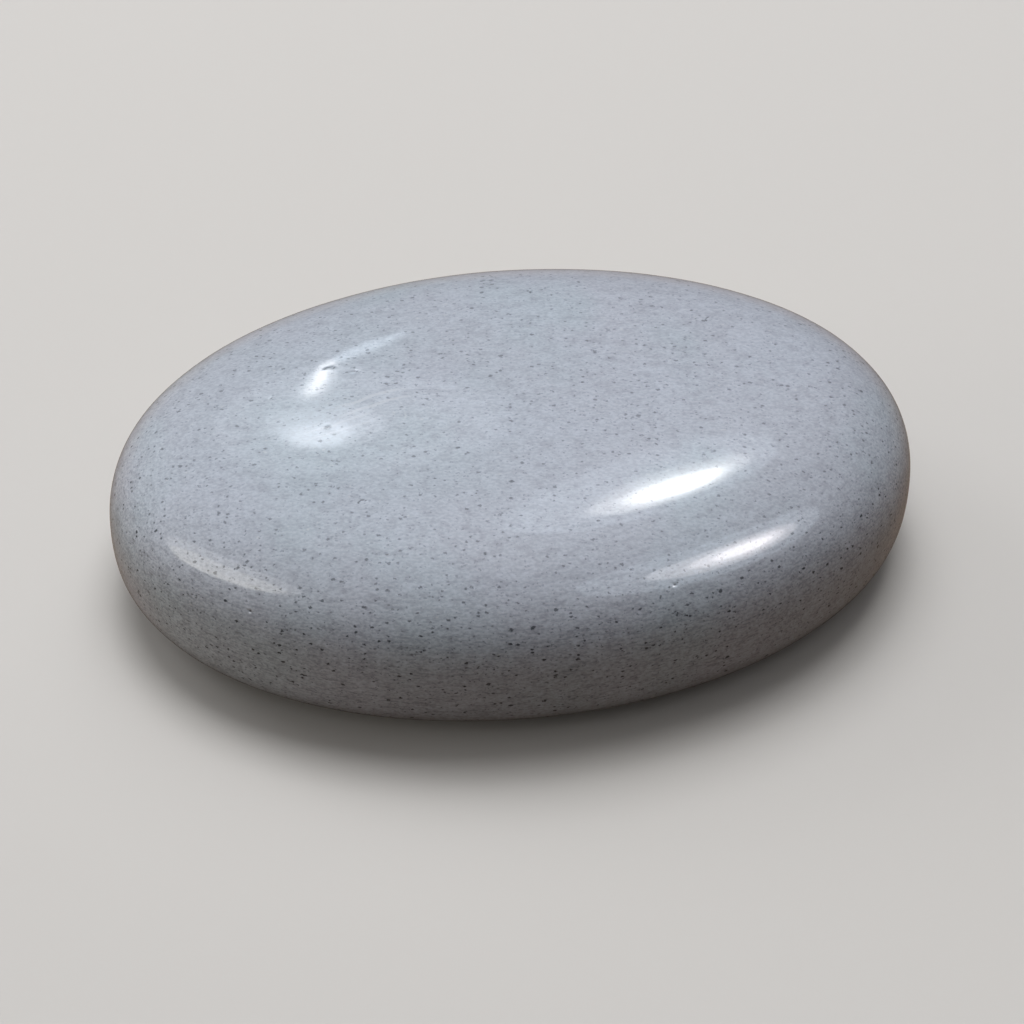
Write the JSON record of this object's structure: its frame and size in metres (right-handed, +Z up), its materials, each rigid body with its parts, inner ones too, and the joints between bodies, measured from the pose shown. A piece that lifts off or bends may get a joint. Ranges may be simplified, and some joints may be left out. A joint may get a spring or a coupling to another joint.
{
  "type": "massage stone",
  "caption": "Smooth oval basalt stone with a gently crowned top, a rounded side and a flat foot, warmed and used by hand for massage.",
  "frame": {"origin": "middle of the flat foot that the stone rests on, on the floor plane", "axes": "+X along the stone's length, +Y across its width, +Z up from the foot through the crowned top"},
  "size_m": [0.1, 0.07, 0.025],
  "materials": {
    "stone": "fine-grained grey basalt with dark mineral specks, tumbled to a satin polish"
  },
  "bodies": {
    "root": {"stone": "stone"}
  },
  "joints": []
}
